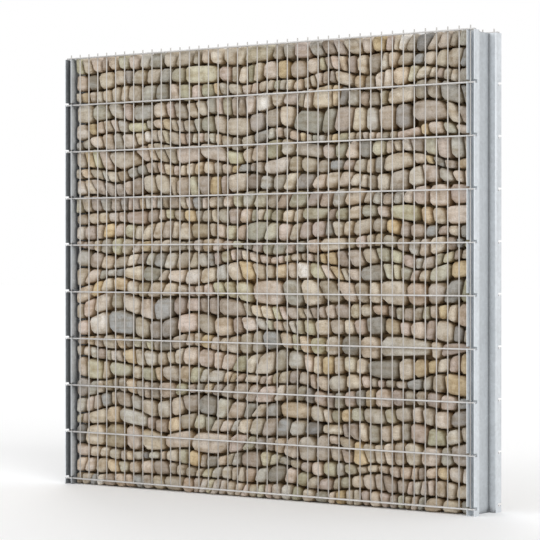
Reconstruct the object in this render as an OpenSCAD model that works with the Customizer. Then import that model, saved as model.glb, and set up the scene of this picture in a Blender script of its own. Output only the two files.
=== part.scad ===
// Gabion wall: two double-rod mesh mats hooked into sheet posts, filled with stone.
// X runs along the wall, Y is its depth with the front at -Y, Z is up from ground level.

/* [Mesh mats] */
// Number of mesh openings side by side
mesh_columns = 40; // [4:2:60]
// Number of mesh openings one above another
mesh_rows = 9; // [2:1:9]
// Spacing of the uprights, centre to centre
mesh_w = 50; // [30:1:100]
// Spacing of the rails, centre to centre
mesh_h = 200; // [100:5:250]
// Across flats of an upright
upright_d = 5; // [4:0.5:8]
// Across flats of a rail
rail_d = 6; // [4:0.5:10]
// How deep the welding presses a rail into an upright
weld_sink = 0.4; // [0.2:0.1:1]
// How far the uprights stand above the top rail
upright_tip = 15; // [8:1:40]
// Height of the lowest rail above the ground
first_rail_z = 25; // [15:1:80]
// How far the rails reach past the outer uprights
rail_overhang = 20; // [10:1:30]
// Spacing of the two mats' uprights across the wall, centre to centre
mat_spacing = 171; // [150:1:500]

/* [Posts] */
// Width of a post along the wall
post_w = 35; // [30:1:60]
// Thickness of the folded sheet
sheet_t = 3; // [2:0.5:4]
// Depth of the tray that takes a mat
tray_depth = 40; // [36:1:60]
// Gap between an outer upright and the post's sheet beside it, on the fill's side
upright_play = 4.5; // [1:0.5:8]
// Width of the tooth that keeps a rail in its hook
tooth_w = 4; // [3:0.5:10]
// How far a mat drops into its hooks
hook_drop = 6; // [4:1:20]
// Play of a rail in its hook
hook_play = 1; // [0.5:0.5:3]

/* [Stone fill] */
// How far the top of the stones lies under the top rail's centre
fill_drop = 5; // [0:1:60]

/* [Hidden] */
mat_w = mesh_columns * mesh_w;
mat_h = mesh_rows * mesh_h;
top_rail_z = first_rail_z + mat_h;

// Depths measured from the wall's middle plane
upright_y = mat_spacing / 2;
outer_rail_y = upright_y + upright_d / 2 + rail_d / 2 - weld_sink;
inner_rail_y = upright_y - upright_d / 2 - rail_d / 2;
hook_outer_y = outer_rail_y + rail_d / 2 + hook_play;
hook_inner_y = inner_rail_y - rail_d / 2 - hook_play;
post_half_depth = hook_outer_y + tooth_w;
tray_base_y = post_half_depth - tray_depth;

// Places along the wall
post_inner_x = mat_w / 2 - upright_d / 2 - upright_play - sheet_t;
fill_w = 2 * post_inner_x;
fill_half_depth = inner_rail_y - rail_d / 2;

post_h = top_rail_z - rail_d / 2;
fill_top_z = top_rail_z - fill_drop;
rail_length = mat_w + 2 * rail_overhang;
upright_bottom_z = first_rail_z - rail_d / 2;
upright_length = mat_h + rail_d / 2 + upright_tip;

// Bars have eight sides, with flats to the front and the rear
bar_sides = 8;
cut_over = 1;

rail_numbers = [1 : mesh_rows + 1];
course_numbers = [1 : mesh_rows];

galvanised = "#c9cdd0";
bright_wire = "#d6d9db";
stone = "#a08c74";

function rail_z(number) = first_rail_z + (number - 1) * mesh_h;
function course_bottom_z(number) = number == 1 ? 0 : rail_z(number);
function course_top_z(number) = number == mesh_rows ? fill_top_z : rail_z(number + 1);

// Upright bar with its foot at the origin
module bar(across_flats, length) {
    rotate([0, 0, 180 / bar_sides])
        cylinder(d = across_flats / cos(180 / bar_sides), h = length, $fn = bar_sides);
}

// Rail along the wall, centred on the wall's middle
module rail(y, number) {
    translate([-rail_length / 2, y, rail_z(number)])
        rotate([0, 90, 0])
            bar(rail_d, rail_length);
}

// Mat at the front (side -1) or at the rear (side 1): uprights and the rails outside them
module mat(side) {
    color(bright_wire) union() {
        for (column = [0 : mesh_columns])
            translate([-mat_w / 2 + column * mesh_w, side * upright_y, upright_bottom_z])
                bar(upright_d, upright_length);
        for (number = rail_numbers)
            rail(side * outer_rail_y, number);
    }
}

module inner_rail(side, number) {
    color(bright_wire) rail(side * inner_rail_y, number);
}

// Section of the folded sheet: a web on the left and a tray open to the front and to the rear
module post_section() {
    translate([0, -post_half_depth]) square([sheet_t, 2 * post_half_depth]);
    for (side = [0, 1]) mirror([0, side]) {
        translate([0, tray_base_y]) square([post_w, sheet_t]);
        translate([post_w - sheet_t, tray_base_y]) square([sheet_t, tray_depth]);
    }
}

// Side outline of a hook, as depth and height about the rail's centre
module hook_outline() {
    seat_z = -rail_d / 2;
    tooth_z = seat_z + hook_drop;
    roof_z = tooth_z + rail_d + hook_play;
    polygon([
        [hook_inner_y, seat_z],
        [hook_outer_y, seat_z],
        [hook_outer_y, tooth_z],
        [post_half_depth + cut_over, tooth_z + cut_over],
        [post_half_depth + cut_over, roof_z + cut_over],
        [hook_inner_y, roof_z]
    ]);
}

// Hook cut across the post, through both lips of a tray
module hook_cut(number) {
    translate([-cut_over, 0, rail_z(number)])
        rotate([90, 0, 90])
            linear_extrude(post_w + 2 * cut_over) hook_outline();
}

// Post with its web at x
module post(x) {
    color(galvanised) translate([x, 0, 0]) difference() {
        linear_extrude(post_h) post_section();
        for (side = [0, 1], number = course_numbers)
            mirror([0, side, 0]) hook_cut(number);
    }
}

module left_post() {
    post(-post_inner_x - post_w);
}

module right_post() {
    post(post_inner_x);
}

// Fill of one row of the mesh, closed by the posts and the inner rails
module stone_course(number) {
    bottom_z = course_bottom_z(number);
    color(stone)
        translate([-fill_w / 2, -fill_half_depth, bottom_z])
            cube([fill_w, 2 * fill_half_depth, course_top_z(number) - bottom_z]);
}

left_post();
right_post();
mat(-1);  // front_mat
mat(1);  // rear_mat
for (number = rail_numbers) {
    inner_rail(-1, number);
    inner_rail(1, number);
}
for (number = course_numbers)
    stone_course(number);
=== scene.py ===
import math
import random

import bmesh
import bpy
from mathutils import Matrix, Vector, noise


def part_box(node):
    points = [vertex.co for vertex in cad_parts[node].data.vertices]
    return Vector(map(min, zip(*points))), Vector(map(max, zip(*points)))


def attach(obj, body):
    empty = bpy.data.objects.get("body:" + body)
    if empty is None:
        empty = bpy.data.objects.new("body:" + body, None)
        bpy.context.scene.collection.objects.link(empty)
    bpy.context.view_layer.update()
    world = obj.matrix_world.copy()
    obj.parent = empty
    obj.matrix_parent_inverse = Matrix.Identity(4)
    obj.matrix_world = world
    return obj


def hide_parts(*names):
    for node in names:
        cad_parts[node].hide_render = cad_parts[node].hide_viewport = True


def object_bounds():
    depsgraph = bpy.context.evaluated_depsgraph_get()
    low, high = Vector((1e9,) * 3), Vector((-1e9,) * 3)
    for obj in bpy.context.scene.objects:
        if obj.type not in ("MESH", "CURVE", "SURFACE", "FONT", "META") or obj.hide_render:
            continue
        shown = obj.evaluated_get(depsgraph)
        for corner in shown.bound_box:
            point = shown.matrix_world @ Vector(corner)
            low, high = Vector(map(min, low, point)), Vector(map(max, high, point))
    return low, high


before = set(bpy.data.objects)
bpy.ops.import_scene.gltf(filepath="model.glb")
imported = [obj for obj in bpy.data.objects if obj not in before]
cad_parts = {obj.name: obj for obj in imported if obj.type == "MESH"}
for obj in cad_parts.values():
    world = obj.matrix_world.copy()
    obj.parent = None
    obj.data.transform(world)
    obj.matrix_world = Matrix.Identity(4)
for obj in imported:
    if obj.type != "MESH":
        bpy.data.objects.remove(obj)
cad_low, cad_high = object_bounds()


def srgb(red, green, blue):
    """Linear colour of a display colour given from 0 to 255."""
    def linear(value):
        share = value / 255
        return share / 12.92 if share <= 0.04045 else ((share + 0.055) / 1.055) ** 2.4
    return (linear(red), linear(green), linear(blue), 1.0)


def grey(value):
    """Neutral colour of a linear brightness."""
    return (value, value, value, 1.0)


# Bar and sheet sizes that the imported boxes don't give, in metres
UPRIGHT_D = 0.005
MESH_COLUMNS = 40
RAIL_OVERHANG = 0.020
SHEET_T = 0.003
TRAY_DEPTH = 0.040
BEND_RADIUS = 0.005
HOOK_DROP = 0.006
HOOK_PLAY = 0.001

# Places read from the frame, with depths measured from the wall's middle plane
RAIL_COUNT = sum(name.startswith("front_inner_rail_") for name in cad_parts)
COURSE_COUNT = sum(name.startswith("stone_course_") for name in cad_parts)
RAIL_BOXES = [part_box(f"front_inner_rail_{number}") for number in range(1, RAIL_COUNT + 1)]
COURSE_BOXES = [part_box(f"stone_course_{number}") for number in range(1, COURSE_COUNT + 1)]
RAIL_D = RAIL_BOXES[0][1].z - RAIL_BOXES[0][0].z
RAIL_Z = [(low.z + high.z) / 2 for low, high in RAIL_BOXES]
INNER_RAIL_Y = -(RAIL_BOXES[0][0].y + RAIL_BOXES[0][1].y) / 2
MAT_LOW, MAT_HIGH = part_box("front_mat")
OUTER_RAIL_Y = -(MAT_LOW.y + RAIL_D / 2)
UPRIGHT_Y = -(MAT_HIGH.y - UPRIGHT_D / 2)
OUTER_UPRIGHT_X = MAT_HIGH.x - RAIL_OVERHANG
POST_HALF_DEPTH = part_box("left_post")[1].y
TRAY_BASE_Y = POST_HALF_DEPTH - (TRAY_DEPTH - SHEET_T / 2)
FILL_LOW = COURSE_BOXES[0][0]
FILL_HIGH = COURSE_BOXES[-1][1]

# Fineness of the round shapes, and breaks of the cut edges
BAR_SIDES = 10
BAR_END_BREAK = 0.0006
BEND_SEGMENTS = 4
SHEET_EDGE_BREAK = 0.0004
SHEET_EDGE_ANGLE = math.radians(50)

# Least normals that tell a sheet's faces apart: along the wall on its lips and its web, and on its bends
LIP_FACING = 0.9
WEB_FACING = 0.5
BEND_FACING = 0.01

# Rows of stones: least, most and likeliest height, and how the lines between them wander
STONE_SEED = 41
ROW_H = (0.042, 0.094, 0.062)
LEAST_H = 0.034
TOP_RISE = 0.012
ROW_WANDER = 0.040
LEAST_WANDER = 0.004
ROW_WAVE = 0.22
ROW_KINSHIP = 0.55
ROW_CALM = 0.12

# Stones along a row: least, most and likeliest width for their height, and the lean of their joints
STONE_ASPECT = (0.42, 1.10, 0.62)
LONG_SHARE = 0.08
LONG_ASPECT = (1.4, 2.3)
LEAST_W = 0.031
ZONE_SIZE = 0.5
ZONE_SPREAD = 0.75
ZONE_LEAN = 0.75
STAGGER = 0.010
JOINT_SLANT = 0.26
LEAST_END = 0.020
LEAST_BULGE = 0.002

# Tall, narrow places that two stones may share, one on the other
SPLIT_H = 0.100
SPLIT_W = 0.085
SPLIT_SHARE = 0.4
SPLIT_PLACE = (0.36, 0.64)

# Outline of a stone: half its joints along and up the wall, its wear and its cut corners
JOINT_HALF = (0.0041, 0.0022)
CORNER_WEAR = (0.0, 0.12)
SIDE_PLACE = (0.34, 0.66)
SIDE_WEAR = (0.0, 0.05)
CORNER_SHARE = (0.15, 0.42)
MOST_CUT = 0.46
BLUNT_ANGLE = math.radians(150)
LEAST_EDGE = 0.004

# Front of a stone: insets and rises of its rim, and the recess, tilt, crown and lumps of its face
RIM = [(0.0012, 0.024), (0.0030, 0.0070), (0.0085, 0.0050)]
RIM_WIDTH = sum(inset for inset, rise in RIM)
RIM_DEPTH = sum(rise for inset, rise in RIM)
RIM_ROOM = 0.85
FACE_RECESS = 0.009
FACE_TILT = 0.10
FACE_CROWN = (0.0010, 0.0045)
LUMP_SIZE = 0.045
LUMP_DEPTH = 0.0045
NOISE_SHIFTS = [Vector((0.0, 0.0, 0.0)), Vector((9.3, 1.5, 7.9)), Vector((4.6, 6.2, 3.1))]

# Back of a stone, where it meets the stones behind the other mat
BACK_REACH = 0.030
BACK_JITTER = 0.012
BACK_TURN = 0.25
BACK_GAP = 0.001

# Core of a course, and the depth at which the stones' painted shade is darkest and brownest
CORE_T = 0.008
CORE_TOP_DROP = 0.040
SHADE_DEPTH = 0.030

# Zinc: tints and crystals of the posts and the bars, and the tones of its patterns
POST_TINT = srgb(228, 233, 237)
POST_CRYSTALS = 95.0
WIRE_TINT = srgb(222, 220, 218)
WIRE_CRYSTALS = 160.0
ZINC_METALLIC = 0.4
ZINC_ROUGHNESS = (0.44, 0.58)
RUN_STRETCH = (60.0, 60.0, 1.6)
CRYSTAL_TONES = [(0.0, grey(0.88)), (1.0, grey(1.0))]
CLOUD_TONES = [(0.3, grey(0.90)), (0.7, grey(1.0))]
RUN_TONES = [(0.3, grey(0.93)), (0.65, grey(1.0))]
UPRIGHT_DARK_TONES = [(0.0, grey(1.0)), (1.0, srgb(237, 235, 232))]

# Painted shade on the posts: how far it reaches out of a corner, its tones, and the darker tones painted on
# the web between the trays
WEB_SHADE_REACH = 0.030
FRONT_TRAY_SHADE_REACH = {"left_post": 0.045, "right_post": 0.0}
REAR_TRAY_SHADE_REACH = 0.0
CORNER_SHADE_SAMPLES = 8
CORNER_SHADE_TONES = [(0.50, grey(0.32)), (0.56, grey(0.74)), (0.72, grey(0.90)), (1.0, grey(1.0))]
CHANNEL_SHADE_TONES = [(0.0, grey(1.0)), (1.0, grey(0.80))]

# Stone: a colour and a lightness for each stone, and the tones of its patterns
STONE_COLOURS = [
    (0.00, srgb(205, 194, 176)),
    (0.14, srgb(215, 205, 190)),
    (0.28, srgb(208, 193, 183)),
    (0.42, srgb(212, 201, 181)),
    (0.54, srgb(195, 192, 185)),
    (0.66, srgb(198, 194, 168)),
    (0.76, srgb(210, 198, 188)),
    (0.86, srgb(214, 194, 156)),
    (0.92, srgb(168, 169, 168)),
    (0.97, srgb(190, 172, 154)),
    (1.00, srgb(230, 226, 219)),
]
LIGHTNESS_TURNS = 41.0
LIGHTNESS_TONES = [(0.0, grey(0.69)), (0.45, grey(0.96)), (1.0, grey(1.16))]
PATTERN_SHIFT = (3.1, 7.7, 5.3)
BEDDING_STRETCH = (9.0, 9.0, 48.0)
MOTTLE_TONES = [(0.28, srgb(206, 196, 182)), (0.50, grey(0.96)), (0.72, grey(1.0))]
SPECKLE_TONES = [(0.30, grey(0.72)), (0.52, grey(1.0))]
BEDDING_TONES = [(0.30, srgb(224, 216, 204)), (0.58, grey(1.0))]
# Painted shade: a stone's tones by how deep it lies, darker and browner deeper in
DEPTH_SHADE_TONES = [(0.30, grey(1.0)), (0.70, srgb(228, 217, 199)), (1.0, srgb(224, 204, 172))]
STONE_ROUGHNESS = (0.72, 0.95)
STONE_SPECULAR = 0.25

# Studio: floor, light and camera
FLOOR_HALF = 60.0
FLOOR_TONE = 0.94
FLOOR_ROUGHNESS = 0.9
SKY_STRENGTH = 0.72
BACKDROP_STRENGTH = 1.0
LIGHT_SPREAD = math.radians(30)
LAMPS = [
    ("key_light", Vector((6.5, -4.5, 4.6)), 1.15),
    ("front_light", Vector((-4.0, -7.0, 2.6)), 0.5),
    ("rear_light", Vector((-5.0, 6.0, 4.1)), 0.7),
]
CAMERA_PLACE = Vector((5.23, -7.02, 0.945))
CAMERA_LENS = 144.0
SENSOR_W = 36.0
VIEW_REACH = 200.0


# Shader nodes

def add_node(tree, kind, inputs=None, **settings):
    """Node of a kind with its settings, and its inputs given as values or as sockets to link."""
    node = tree.nodes.new(kind)
    for name, value in settings.items():
        setattr(node, name, value)
    for name, value in (inputs or {}).items():
        if isinstance(value, bpy.types.NodeSocket):
            tree.links.new(value, node.inputs[name])
        else:
            node.inputs[name].default_value = value
    return node


def add_place(tree):
    """Place on a piece, in metres."""
    return add_node(tree, "ShaderNodeTexCoord").outputs["Object"]


def add_attribute(tree, name):
    """Value that a piece's own points carry."""
    return add_node(tree, "ShaderNodeAttribute", attribute_name=name).outputs["Fac"]


def add_axis(tree, vector, axis):
    """Part of a vector along an axis."""
    return add_node(tree, "ShaderNodeSeparateXYZ", {"Vector": vector}).outputs[axis]


def add_math(tree, operation, *values):
    """Value worked out of one or two others."""
    return add_node(tree, "ShaderNodeMath", dict(enumerate(values)), operation=operation).outputs["Value"]


def add_noise(tree, place, scale, detail, roughness=0.5):
    """Noise over a place."""
    inputs = {"Vector": place, "Scale": scale, "Detail": detail, "Roughness": roughness}
    return add_node(tree, "ShaderNodeTexNoise", inputs).outputs["Fac"]


def stretch(tree, place, scales):
    """Place scaled along each axis, for a pattern that is drawn out."""
    return add_node(tree, "ShaderNodeMapping", {"Vector": place, "Scale": scales}).outputs["Vector"]


def map_between(tree, value, least, most):
    """Value from 0 to 1 mapped between two others."""
    inputs = {"Value": value, "To Min": least, "To Max": most}
    return add_node(tree, "ShaderNodeMapRange", inputs).outputs["Result"]


def add_ramp(tree, factor, stops):
    """Colour ramp through (position, colour) stops."""
    node = add_node(tree, "ShaderNodeValToRGB", {"Fac": factor})
    elements = node.color_ramp.elements
    while len(elements) < len(stops):
        elements.new(1.0)
    for element, (position, colour) in zip(elements, stops):
        element.position = position
        element.color = colour
    return node.outputs["Color"]


def multiply(tree, colour, *tones):
    """Colour multiplied by each of the tones."""
    for tone in tones:
        product = add_node(tree, "ShaderNodeMix", {"Factor": 1.0, "A": colour, "B": tone},
                           data_type="RGBA", blend_type="MULTIPLY")
        colour = product.outputs["Result"]
    return colour


def add_bump(tree, height, strength, distance):
    """Surface normal of a fine relief."""
    inputs = {"Height": height, "Strength": strength, "Distance": distance}
    return add_node(tree, "ShaderNodeBump", inputs).outputs["Normal"]


def new_material(name):
    material = bpy.data.materials.new(name)
    material.use_nodes = True
    return material


def surface_of(material):
    """The one shader of a material."""
    return material.node_tree.nodes["Principled BSDF"]


def finish_surface(material, colour, roughness, normal):
    """Link a material's patterns to its shader."""
    surface = surface_of(material)
    for name, value in (("Base Color", colour), ("Roughness", roughness), ("Normal", normal)):
        material.node_tree.links.new(value, surface.inputs[name])


def tone_surface(material, *tones):
    """Multiply a material's base colour by more tones."""
    tree = material.node_tree
    base_colour = surface_of(material).inputs["Base Color"]
    clean = base_colour.links[0].from_socket
    tree.links.new(multiply(tree, clean, *tones), base_colour)


# Finishes

def make_zinc_group():
    """Hot-dip zinc: a soft crystal pattern, cloudy patches and faint runs down the piece."""
    group = bpy.data.node_groups.new("zinc_coat", "ShaderNodeTree")
    face = group.interface
    face.new_socket("Tint", in_out="INPUT", socket_type="NodeSocketColor")
    face.new_socket("Crystal Scale", in_out="INPUT", socket_type="NodeSocketFloat")
    face.new_socket("Colour", in_out="OUTPUT", socket_type="NodeSocketColor")
    face.new_socket("Roughness", in_out="OUTPUT", socket_type="NodeSocketFloat")
    face.new_socket("Height", in_out="OUTPUT", socket_type="NodeSocketFloat")
    given = group.nodes.new("NodeGroupInput")
    result = group.nodes.new("NodeGroupOutput")
    place = add_place(group)
    crystals = add_node(group, "ShaderNodeTexVoronoi",
                        {"Vector": place, "Scale": given.outputs["Crystal Scale"]})
    crystal = add_node(group, "ShaderNodeSeparateColor", {"Color": crystals.outputs["Color"]}).outputs["Red"]
    clouds = add_noise(group, place, scale=7.0, detail=5.0)
    runs = add_noise(group, stretch(group, place, RUN_STRETCH), scale=1.0, detail=3.0)
    fine = add_noise(group, place, scale=320.0, detail=2.0)
    colour = multiply(
        group, given.outputs["Tint"], add_ramp(group, crystal, CRYSTAL_TONES),
        add_ramp(group, clouds, CLOUD_TONES), add_ramp(group, runs, RUN_TONES))
    group.links.new(colour, result.inputs["Colour"])
    group.links.new(map_between(group, crystal, *ZINC_ROUGHNESS), result.inputs["Roughness"])
    group.links.new(fine, result.inputs["Height"])
    return group


def galvanised_material(name, zinc, tint, crystal_scale):
    """Galvanised steel with its own tint and crystal size."""
    material = new_material(name)
    tree = material.node_tree
    coat = add_node(tree, "ShaderNodeGroup", {"Tint": tint, "Crystal Scale": crystal_scale}, node_tree=zinc)
    normal = add_bump(tree, coat.outputs["Height"], strength=0.12, distance=0.0004)
    finish_surface(material, coat.outputs["Colour"], coat.outputs["Roughness"], normal)
    surface_of(material).inputs["Metallic"].default_value = ZINC_METALLIC
    return material


def paint_corner_shade(material):
    """Painted shade in a post's corners, in its trays as far as its own attribute says, and painted shade on
    the web between.
    """
    tree = material.node_tree
    depth = add_math(tree, "ABSOLUTE", add_axis(tree, add_place(tree), "Y"))
    in_tray = add_math(tree, "GREATER_THAN", depth, TRAY_BASE_Y)
    reach = map_between(tree, in_tray, WEB_SHADE_REACH, add_attribute(tree, "tray_shade_reach"))
    # Painted shade: occlusion near a corner darkens the base colour, as far as the reach.
    corner = add_node(tree, "ShaderNodeAmbientOcclusion", {"Distance": reach}, samples=CORNER_SHADE_SAMPLES)
    # Painted shade on the web's face towards the trays, between them.
    facing = add_node(tree, "ShaderNodeNewGeometry").outputs["True Normal"]
    to_trays = add_math(tree, "GREATER_THAN", add_axis(tree, facing, "X"), WEB_FACING)
    between = add_math(tree, "LESS_THAN", depth, TRAY_BASE_Y - SHEET_T)
    shaded_channel = add_math(tree, "MULTIPLY", to_trays, between)
    tone_surface(material, add_ramp(tree, corner.outputs["AO"], CORNER_SHADE_TONES),
                 add_ramp(tree, shaded_channel, CHANNEL_SHADE_TONES))


def darken_uprights(material):
    """Uprights of a mat a little darker and warmer than its rails, by the bars' own attribute."""
    tree = material.node_tree
    tone_surface(material, add_ramp(tree, add_attribute(tree, "upright_darkening"), UPRIGHT_DARK_TONES))


def quarry_stone_material():
    """Rubble stone: a colour for each stone, mottled, speckled, bedded, and painted shade, darker and
    browner, where it lies deep.
    """
    material = new_material("quarry_stone")
    tree = material.node_tree
    tone = add_attribute(tree, "stone_tone")
    depth = add_attribute(tree, "stone_shade_depth")
    lightness = add_math(tree, "FRACT", add_math(tree, "MULTIPLY", tone, LIGHTNESS_TURNS))
    shift = add_node(tree, "ShaderNodeVectorMath", {0: PATTERN_SHIFT, "Scale": tone}, operation="SCALE")
    shifted = add_node(tree, "ShaderNodeVectorMath",
                       {0: add_place(tree), 1: shift.outputs["Vector"]}, operation="ADD")
    place = shifted.outputs["Vector"]
    mottle = add_noise(tree, place, scale=26.0, detail=6.0, roughness=0.6)
    speckle = add_noise(tree, place, scale=240.0, detail=3.0)
    bedding = add_noise(tree, stretch(tree, place, BEDDING_STRETCH), scale=1.0, detail=4.0)
    relief = add_noise(tree, place, scale=70.0, detail=8.0, roughness=0.62)
    # The last tone is painted shade by depth.
    colour = multiply(
        tree, add_ramp(tree, tone, STONE_COLOURS), add_ramp(tree, lightness, LIGHTNESS_TONES),
        add_ramp(tree, mottle, MOTTLE_TONES), add_ramp(tree, speckle, SPECKLE_TONES),
        add_ramp(tree, bedding, BEDDING_TONES), add_ramp(tree, depth, DEPTH_SHADE_TONES))
    roughness = map_between(tree, mottle, *STONE_ROUGHNESS)
    finish_surface(material, colour, roughness, add_bump(tree, relief, strength=0.55, distance=0.003))
    surface_of(material).inputs["Specular IOR Level"].default_value = STONE_SPECULAR
    return material


def floor_material():
    material = new_material("studio_floor")
    surface = surface_of(material)
    surface.inputs["Base Color"].default_value = grey(FLOOR_TONE)
    surface.inputs["Roughness"].default_value = FLOOR_ROUGHNESS
    return material


# Pieces

def each_once(items):
    """Items in their own order, each of them once."""
    return list(dict.fromkeys(items))


def finish_piece(name, bm, material, slot, *nodes):
    """Object made of a bmesh, which rides on the wall and stands for its solids."""
    mesh = bpy.data.meshes.new(name)
    bm.to_mesh(mesh)
    bm.free()
    mesh.materials.append(material)
    piece = bpy.data.objects.new(name, mesh)
    bpy.context.scene.collection.objects.link(piece)
    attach(piece, "root")
    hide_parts(*nodes)
    return piece


# Mats

def add_bar(bm, start, end, diameter):
    """Round bar from start to end, with the rims of its cut ends broken."""
    run = end - start
    turn = run.to_track_quat("Z", "Y").to_matrix().to_4x4()
    bar = bmesh.ops.create_cone(
        bm, cap_ends=True, segments=BAR_SIDES, radius1=diameter / 2, radius2=diameter / 2,
        depth=run.length - 2 * BAR_END_BREAK, matrix=Matrix.Translation((start + end) / 2) @ turn)
    faces = each_once(face for vert in bar["verts"] for face in vert.link_faces)
    caps = [face for face in faces if len(face.verts) == BAR_SIDES]
    for face in faces:
        face.smooth = face not in caps
    bmesh.ops.inset_individual(bm, faces=caps, thickness=BAR_END_BREAK, depth=BAR_END_BREAK,
                               use_even_offset=True)


def add_rail(bm, y, z):
    """Rail along the whole mat."""
    add_bar(bm, Vector((MAT_LOW.x, y, z)), Vector((MAT_HIGH.x, y, z)), RAIL_D)


def make_mat(side_name, side, material):
    """Uprights and outer rails of the mat at the front (side -1) or at the rear (side 1)."""
    bm = bmesh.new()
    dullness = bm.verts.layers.float.new("upright_darkening")
    spacing = 2 * OUTER_UPRIGHT_X / MESH_COLUMNS
    y = side * UPRIGHT_Y
    for column in range(MESH_COLUMNS + 1):
        x = -OUTER_UPRIGHT_X + column * spacing
        add_bar(bm, Vector((x, y, MAT_LOW.z)), Vector((x, y, MAT_HIGH.z)), UPRIGHT_D)
    for vert in bm.verts:
        vert[dullness] = 1.0
    for z in RAIL_Z:
        add_rail(bm, side * OUTER_RAIL_Y, z)
    finish_piece(f"{side_name}_mat_bars", bm, material, "galvanised_wire", f"{side_name}_mat")


def make_inner_rails(side_name, side, material):
    """Second rail of each double rod, inside the uprights."""
    for number, z in enumerate(RAIL_Z, start=1):
        bm = bmesh.new()
        add_rail(bm, side * INNER_RAIL_Y, z)
        node = f"{side_name}_inner_rail_{number}"
        finish_piece(f"{node}_bar", bm, material, "galvanised_wire", node)


# Posts

def add_sheet(bm, plan, height):
    """Sheet that stands on an open line, given in plan."""
    line = [bm.verts.new((x, y, 0)) for x, y in plan]
    edges = [bm.edges.new(pair) for pair in zip(line, line[1:])]
    made = bmesh.ops.extrude_edge_only(bm, edges=edges)
    raised = [item for item in made["geom"] if isinstance(item, bmesh.types.BMVert)]
    bmesh.ops.translate(bm, verts=raised, vec=(0, 0, height))


def cut_along(bm, is_chosen, point, normal):
    """Cut line across the chosen faces of a sheet."""
    faces = [face for face in bm.faces if is_chosen(face)]
    edges = each_once(edge for face in faces for edge in face.edges)
    verts = each_once(vert for face in faces for vert in face.verts)
    bmesh.ops.bisect_plane(bm, geom=verts + edges + faces, plane_co=point, plane_no=normal)


def cut_hooks(bm):
    """Hooks in the free edges of a sheet: a pocket for the rails behind a tooth, open at the edge."""
    pocket_inner = INNER_RAIL_Y - RAIL_D / 2 - HOOK_PLAY
    pocket_outer = OUTER_RAIL_Y + RAIL_D / 2 + HOOK_PLAY

    def in_lip(face):
        reach = max(abs(vert.co.y) for vert in face.verts)
        return abs(face.normal.x) > LIP_FACING and reach > pocket_inner

    def at_hooks(face):
        return in_lip(face) and abs(face.calc_center_median().y) > pocket_inner

    for y in (pocket_inner, pocket_outer):
        for sign in (-1, 1):
            cut_along(bm, in_lip, (0, sign * y, 0), (0, 1, 0))
    hooks = []
    for z in RAIL_Z[:-1]:
        seat = z - RAIL_D / 2
        tooth = seat + HOOK_DROP
        roof = tooth + RAIL_D + HOOK_PLAY
        hooks.append((seat, tooth, roof))
        for level in (seat, tooth, roof):
            cut_along(bm, at_hooks, (0, 0, level), (0, 0, 1))
    holes = []
    for face in bm.faces:
        centre = face.calc_center_median()
        depth = abs(centre.y)
        for seat, tooth, roof in hooks:
            in_pocket = pocket_inner < depth < pocket_outer and seat < centre.z < roof
            in_mouth = pocket_outer < depth < POST_HALF_DEPTH and tooth < centre.z < roof
            if in_pocket or in_mouth:
                holes.append(face)
    bmesh.ops.delete(bm, geom=holes, context="FACES")


def thicken_sheet(piece):
    """Give a sheet its thickness, and break its edges."""
    wall = piece.modifiers.new("sheet", "SOLIDIFY")
    wall.thickness = SHEET_T
    wall.offset = 0
    edge_break = piece.modifiers.new("edge_break", "BEVEL")
    edge_break.width = SHEET_EDGE_BREAK
    edge_break.segments = 1
    edge_break.limit_method = "ANGLE"
    edge_break.angle_limit = SHEET_EDGE_ANGLE


def make_post(name, material):
    """Folded post: a web plate and two angles that make trays open to the front and the rear."""
    low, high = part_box(name)
    bm = bmesh.new()
    web_x = low.x + SHEET_T / 2
    lip_x = high.x - SHEET_T / 2
    add_sheet(bm, [(web_x, low.y), (web_x, high.y)], high.z)
    for sign in (-1, 1):
        base_y = sign * TRAY_BASE_Y
        add_sheet(bm, [(low.x + SHEET_T, base_y), (lip_x, base_y), (lip_x, sign * high.y)], high.z)
    folds = [edge for edge in bm.edges
             if len(edge.link_faces) == 2 and abs(edge.verts[0].co.x - lip_x) < SHEET_T / 4]
    bmesh.ops.bevel(bm, geom=folds, offset=BEND_RADIUS, affect="EDGES", segments=BEND_SEGMENTS,
                    profile=0.5, material=-1)
    bm.normal_update()
    cut_hooks(bm)
    for face in bm.faces:
        face.smooth = abs(face.normal.x * face.normal.y) > BEND_FACING
    # Painted shade: how far the corner shade reaches in each tray, far only in the left post's front tray.
    shade_reach = bm.verts.layers.float.new("tray_shade_reach")
    for vert in bm.verts:
        vert[shade_reach] = FRONT_TRAY_SHADE_REACH[name] if vert.co.y < 0 else REAR_TRAY_SHADE_REACH
    thicken_sheet(finish_piece(f"{name}_sheet", bm, material, "galvanised_post", name))


# Layout of the stones

def noise_along_axes(place):
    """Three noises at a place, one along each axis."""
    return Vector([noise.noise(place + shift) for shift in NOISE_SHIFTS])


def foot_line(x):
    """Line under the lowest row."""
    return 0.0


def row_line(base, number, line_below):
    """Line over a row, as its height at a place along the wall: it wanders, less near foot and top."""
    calm = min(1.0, base / ROW_CALM, (FILL_HIGH.z - base) / ROW_CALM)
    sway = max(ROW_WANDER * calm, LEAST_WANDER)

    def height(x):
        wander = sway * noise.noise(Vector((x / ROW_WAVE, ROW_KINSHIP * number, 0)))
        return max(base + wander, line_below(x) + LEAST_H)
    return height


def line_between(low_line, high_line):
    """Line halfway between two others."""
    def height(x):
        return (low_line(x) + high_line(x)) / 2
    return height


def lay_rows(draw):
    """Lines between the rows of stones, from the foot up, behind the front mat and behind the rear mat."""
    heights = []
    while sum(heights) < FILL_HIGH.z:
        heights.append(draw.triangular(*ROW_H))
    share = (FILL_HIGH.z + TOP_RISE) / sum(heights)
    lines = [foot_line]
    for number in range(1, len(heights) + 1):
        lines.append(row_line(sum(heights[:number]) * share, number, lines[-1]))
    broken = [line_between(low, high) for low, high in zip(lines[1:], lines[2:-1])]
    return lines, [foot_line] + broken + lines[-1:]


def hold_back(reach, room, middle=0.0):
    """Reach kept within some room about a middle."""
    return max(middle - room, min(reach, middle + room))


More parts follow.
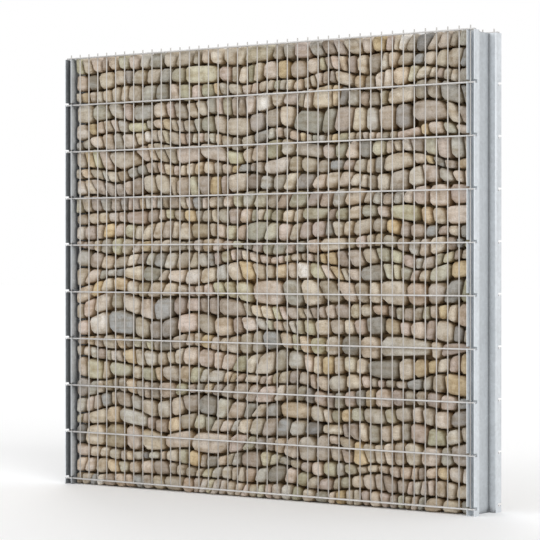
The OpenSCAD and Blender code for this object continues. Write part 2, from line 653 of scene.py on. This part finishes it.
def lay_joints(draw, floor_line, roof_line, joints_below):
    """Upright joints of a row, clear of the joints below: the place of each and how far its head leans."""
    joints = [(FILL_LOW.x, 0.0)]
    while True:
        before, before_reach = joints[-1]
        x = before
        row_h = roof_line(x) - floor_line(x)
        zone = noise_along_axes(Vector((x, roof_line(x), floor_line(0))) / ZONE_SIZE)
        aspect = draw.triangular(*STONE_ASPECT)
        if draw.random() < LONG_SHARE:
            aspect = draw.uniform(*LONG_ASPECT)
        x += max(aspect * (1 + ZONE_SPREAD * zone.x) * row_h, LEAST_W)
        if any(abs(x - below) < STAGGER for below, reach in joints_below):
            x += 2 * STAGGER
        if x > FILL_HIGH.x - LEAST_W:
            break
        slant = ZONE_LEAN * zone.y + draw.uniform(-1, 1) * JOINT_SLANT
        reach = hold_back(slant * row_h / 2, x - before - LEAST_END, before_reach)
        joints.append((x, hold_back(reach, FILL_HIGH.x - x - LEAST_END)))
    return joints + [(FILL_HIGH.x, 0.0)]


def joint_ends(joint, floor_line, roof_line):
    """Foot and head of a joint on the lines of its row."""
    x, reach = joint
    return Vector((x - reach, floor_line(x - reach))), Vector((x + reach, roof_line(x + reach)))


def follow_line(first, last, line, outward):
    """Edge of a stone between two joints: it bulges to the row's line, and never crosses it."""
    middle = first.lerp(last, 0.5)
    bulge = (line(middle.x) - middle.y) * outward
    if bulge > LEAST_BULGE:
        return [first, Vector((middle.x, line(middle.x))), last]
    back = Vector((0, min(bulge, 0) * outward))
    return [first + back, last + back]


def lay_stones(draw, lines):
    """Outlines of the stones behind one mat, each a ring of corners in the plane of the wall."""
    outlines = []
    joints = []
    for floor_line, roof_line in zip(lines, lines[1:]):
        joints = lay_joints(draw, floor_line, roof_line, joints)
        ends = [joint_ends(joint, floor_line, roof_line) for joint in joints]
        for (left_foot, left_head), (right_foot, right_head) in zip(ends, ends[1:]):
            bottom = follow_line(left_foot, right_foot, floor_line, -1)
            top = follow_line(right_head, left_head, roof_line, 1)
            tall = (left_head - left_foot).length > SPLIT_H
            narrow = (right_foot - left_foot).length < SPLIT_W
            if tall and narrow and draw.random() < SPLIT_SHARE:
                left = left_foot.lerp(left_head, draw.uniform(*SPLIT_PLACE))
                right = right_foot.lerp(right_head, draw.uniform(*SPLIT_PLACE))
                outlines.append(bottom + [right, left])
                outlines.append([left, right] + top)
            else:
                outlines.append(bottom + top)
    return outlines


def measure_stone(outline, side, draw):
    """What a stone's neighbours need of it: its middle, and its reach along and up the wall."""
    low_x, high_x = min(point.x for point in outline), max(point.x for point in outline)
    low_z, high_z = min(point.y for point in outline), max(point.y for point in outline)
    depth = side * (FILL_HIGH.y / 2 + draw.uniform(-1, 1) * BACK_JITTER)
    middle = Vector(((low_x + high_x) / 2, depth, (low_z + high_z) / 2))
    return {"outline": outline, "side": side, "middle": middle, "x": (low_x, high_x), "z": (low_z, high_z)}


def lay_layers(draw):
    """All stones of the two layers, one behind each mat."""
    stones = []
    for side, lines in zip((-1, 1), lay_rows(draw)):
        stones += [measure_stone(outline, side, draw) for outline in lay_stones(draw, lines)]
    return stones


def meet(stone, other):
    """Whether two stones of the two layers lie behind each other."""
    for axis in ("x", "z"):
        if stone[axis][0] >= other[axis][1] or other[axis][0] >= stone[axis][1]:
            return False
    return True


# Shape of a stone

def before_each(ring):
    """What comes before each item of a ring."""
    return ring[-1:] + ring[:-1]


def after_each(ring):
    """What comes after each item of a ring."""
    return ring[1:] + ring[:1]


def wear_outline(outline, middle, spans, draw):
    """Outline set back from its joints, with worn corners and a point left standing on each side."""
    shares = [1 - 2 * half / span for half, span in zip(JOINT_HALF, spans)]
    set_back = [middle + (corner - middle) * Vector(shares) for corner in outline]
    ring = []
    for corner, after in zip(set_back, after_each(set_back)):
        ring.append(corner.lerp(middle, draw.uniform(*CORNER_WEAR)))
        standing = corner.lerp(after, draw.uniform(*SIDE_PLACE))
        ring.append(standing.lerp(middle, draw.uniform(*SIDE_WEAR)))
    return ring


def cut_corners(bm, corners, lesser_side, draw):
    """Cut each sharp corner of a flat outline by its own radius."""
    cuts = []
    for before, corner, after in zip(before_each(corners), corners, after_each(corners)):
        arms = [before.co - corner.co, after.co - corner.co]
        angle = arms[0].angle(arms[1])
        wanted = lesser_side * draw.uniform(*CORNER_SHARE) / math.tan(angle / 2)
        if angle < BLUNT_ANGLE:
            cut = min(wanted, MOST_CUT * arms[0].length, MOST_CUT * arms[1].length)
            cuts.append((corner, cut))
    for corner, cut in cuts:
        bmesh.ops.bevel(bm, geom=[corner], offset=cut, affect="VERTICES", segments=1,
                        profile=0.5, material=-1)
    bmesh.ops.remove_doubles(bm, verts=bm.verts, dist=LEAST_EDGE)


def inset_room(face):
    """How far a flat face can be inset before one of its edges shrinks to nothing."""
    points = [vert.co for vert in face.verts]
    edges = [after - point for point, after in zip(points, after_each(points))]
    turns = [before.angle(edge) for before, edge in zip(before_each(edges), edges)]
    rates = [math.tan(turn / 2) + math.tan(after / 2) for turn, after in zip(turns, after_each(turns))]
    return min(edge.length / rate for edge, rate in zip(edges, rates) if rate > 0)


def draw_forward(bm, side, rim_y, draw):
    """Draw a flat outline forward to its rim, and round the rim off to a crowned face."""
    front = bmesh.ops.extrude_discrete_faces(bm, faces=bm.faces[:])["faces"]
    rim_share = min(1.0, RIM_ROOM * inset_room(front[0]) / RIM_WIDTH)
    bmesh.ops.translate(bm, verts=front[0].verts[:], vec=(0, side * (rim_y + BACK_REACH), 0))
    for inset, rise in RIM:
        bmesh.ops.inset_region(bm, faces=front, thickness=inset * rim_share, depth=rise,
                               use_even_offset=True)
    bmesh.ops.poke(bm, faces=front, offset=draw.uniform(*FACE_CROWN))
    bmesh.ops.holes_fill(bm, edges=[edge for edge in bm.edges if edge.is_boundary])


def roughen(bm, middle, rim_y, draw):
    """Tilt a stone's face and give it lumps, from nothing at the foot of its rim."""
    tilt = Vector((draw.uniform(-1, 1), draw.uniform(-1, 1))) * FACE_TILT
    for vert in bm.verts:
        share = max(0.0, (abs(vert.co.y) - rim_y) / RIM_DEPTH)
        lump = noise_along_axes(vert.co / LUMP_SIZE) * LUMP_DEPTH * share
        swing = tilt.dot(Vector((vert.co.x, vert.co.z)) - middle) * share
        vert.co += lump + Vector((0, swing, 0))


def keep_behind_rails(bm, side):
    """Move a stone back by as much as it stands out of the fill."""
    proud = max(side * vert.co.y for vert in bm.verts) - FILL_HIGH.y
    if proud > 0:
        bmesh.ops.translate(bm, verts=bm.verts, vec=(0, -side * proud, 0))


def shape_stone(outline, side, draw):
    """One stone: its outline worn, drawn forward to its face, with a rounded rim and an uneven skin."""
    bm = bmesh.new()
    middle = sum(outline, Vector((0, 0))) / len(outline)
    spans = [max(values) - min(values) for values in zip(*outline)]
    ring = wear_outline(outline, middle, spans, draw)
    if side > 0:
        ring.reverse()
    corners = [bm.verts.new((x, -side * BACK_REACH, z)) for x, z in ring]
    bm.faces.new(corners)
    cut_corners(bm, corners, min(spans), draw)
    rim_y = FILL_HIGH.y - draw.uniform(0, FACE_RECESS) - RIM_DEPTH
    draw_forward(bm, side, rim_y, draw)
    roughen(bm, middle, rim_y, draw)
    keep_behind_rails(bm, side)
    return bm


def trim(bm, point, normal):
    """Cut away what lies beyond a plane and close the cut."""
    everything = bm.verts[:] + bm.edges[:] + bm.faces[:]
    cut = bmesh.ops.bisect_plane(bm, geom=everything, plane_co=point, plane_no=normal, clear_outer=True)
    rim = [item for item in cut["geom_cut"] if isinstance(item, bmesh.types.BMEdge)]
    if len(rim) > 2:
        bmesh.ops.edgeloop_fill(bm, edges=rim)


def part_layers(bm, stone, others):
    """Cut the back of a stone where it meets the stones behind the other mat."""
    for other in others:
        apart = other["middle"] - stone["middle"]
        normal = Vector((apart.x * BACK_TURN, apart.y, apart.z * BACK_TURN)).normalized()
        trim(bm, (stone["middle"] + other["middle"]) / 2 - normal * BACK_GAP, normal)


# Courses of stones

def start_course(box):
    """Course with only a thin core, which stands for the small stones in the middle and stops the light."""
    low, high = box
    course = bmesh.new()
    course.verts.layers.float.new("stone_tone")
    course.verts.layers.float.new("stone_shade_depth")
    top = min(high.z, FILL_HIGH.z - CORE_TOP_DROP)
    size = Vector((high.x - low.x, CORE_T, top - low.z))
    place = Matrix.Translation((0, 0, (low.z + top) / 2))
    bmesh.ops.create_cube(course, size=1, matrix=place @ Matrix.Diagonal(size).to_4x4())
    # The core is painted with the deepest shade all over, a dark sheet in the middle of the fill.
    depth = course.verts.layers.float["stone_shade_depth"]
    for vert in course.verts:
        vert[depth] = 1.0
    return course


def course_of(stone):
    """Place in the list of courses of the one that a stone's middle lies in."""
    above = [place for place, (low, high) in enumerate(COURSE_BOXES) if stone["middle"].z <= high.z]
    return min(above, default=COURSE_COUNT - 1)


def join_stone(course, bm, scratch, own_tone):
    """Add a stone to its course, with its own tone and the depth at which each of its points lies."""
    bm.to_mesh(scratch)
    bm.free()
    first = len(course.verts)
    course.from_mesh(scratch)
    course.verts.ensure_lookup_table()
    tone = course.verts.layers.float["stone_tone"]
    depth = course.verts.layers.float["stone_shade_depth"]
    for vert in course.verts[first:]:
        vert[tone] = own_tone
        # Painted shade: the deeper a point lies below the fill's front and top, the darker and browner it is
        # painted.
        below = min(FILL_HIGH.y - abs(vert.co.y), FILL_HIGH.z - vert.co.z)
        vert[depth] = min(below / SHADE_DEPTH, 1.0)


def make_courses(material):
    """All stones, joined in one piece for each course of the mesh."""
    draw = random.Random(STONE_SEED)
    stones = lay_layers(draw)
    courses = [start_course(box) for box in COURSE_BOXES]
    scratch = bpy.data.meshes.new("stone_scratch")
    for stone in stones:
        bm = shape_stone(stone["outline"], stone["side"], draw)
        behind = [other for other in stones if other["side"] != stone["side"] and meet(stone, other)]
        part_layers(bm, stone, behind)
        bmesh.ops.recalc_face_normals(bm, faces=bm.faces)
        for face in bm.faces:
            face.smooth = True
        join_stone(courses[course_of(stone)], bm, scratch, draw.random())
    bpy.data.meshes.remove(scratch)
    for number, course in enumerate(courses, start=1):
        node = f"stone_course_{number}"
        finish_piece(f"{node}_stones", course, material, "quarry_stone", node)


# Studio

def make_floor():
    bm = bmesh.new()
    bmesh.ops.create_grid(bm, x_segments=1, y_segments=1, size=FLOOR_HALF)
    mesh = bpy.data.meshes.new("studio_floor")
    bm.to_mesh(mesh)
    bm.free()
    mesh.materials.append(floor_material())
    floor = bpy.data.objects.new("studio_floor", mesh)
    bpy.context.scene.collection.objects.link(floor)


def add_soft_light(name, side, strength):
    """Wide, distant lamp on a side of the wall, which lights the floor as evenly as the wall."""
    light = bpy.data.lights.new(name, "SUN")
    light.angle = LIGHT_SPREAD
    light.energy = strength
    lamp = bpy.data.objects.new(name, light)
    lamp.rotation_euler = side.to_track_quat("Z", "Y").to_euler()
    bpy.context.scene.collection.objects.link(lamp)


def light_studio():
    """Soft white surroundings, brighter to the eye than as a light, and three soft lamps."""
    world = bpy.data.worlds.new("studio_world")
    bpy.context.scene.world = world
    world.use_nodes = True
    tree = world.node_tree
    sky = tree.nodes["Background"]
    sky.inputs["Color"].default_value = grey(1.0)
    sky.inputs["Strength"].default_value = SKY_STRENGTH
    backdrop = add_node(tree, "ShaderNodeBackground", {"Color": grey(1.0), "Strength": BACKDROP_STRENGTH})
    seen = add_node(tree, "ShaderNodeLightPath").outputs["Is Camera Ray"]
    both = add_node(tree, "ShaderNodeMixShader", {
        "Fac": seen, 1: sky.outputs["Background"], 2: backdrop.outputs["Background"]})
    tree.links.new(both.outputs["Shader"], tree.nodes["World Output"].inputs["Surface"])
    for name, side, strength in LAMPS:
        add_soft_light(name, side, strength)


def place_camera(target):
    """Camera at the photo's viewing angle."""
    camera = bpy.data.cameras.new("photo_camera")
    camera.sensor_width = SENSOR_W
    camera.lens = CAMERA_LENS
    camera.clip_end = VIEW_REACH
    viewer = bpy.data.objects.new("photo_camera", camera)
    viewer.location = CAMERA_PLACE
    viewer.rotation_euler = (target - CAMERA_PLACE).to_track_quat("-Z", "Y").to_euler()
    bpy.context.scene.collection.objects.link(viewer)
    bpy.context.scene.camera = viewer


place_camera((cad_low + cad_high) / 2)
light_studio()
make_floor()
bpy.context.scene.view_settings.view_transform = "Standard"

zinc_coat = make_zinc_group()
post_steel = galvanised_material("galvanised_post", zinc_coat, POST_TINT, POST_CRYSTALS)
paint_corner_shade(post_steel)
wire_steel = galvanised_material("galvanised_wire", zinc_coat, WIRE_TINT, WIRE_CRYSTALS)
darken_uprights(wire_steel)
rubble = quarry_stone_material()

for post in ("left_post", "right_post"):
    make_post(post, post_steel)
for side_name, side in (("front", -1), ("rear", 1)):
    make_mat(side_name, side, wire_steel)
    make_inner_rails(side_name, side, wire_steel)
make_courses(rubble)
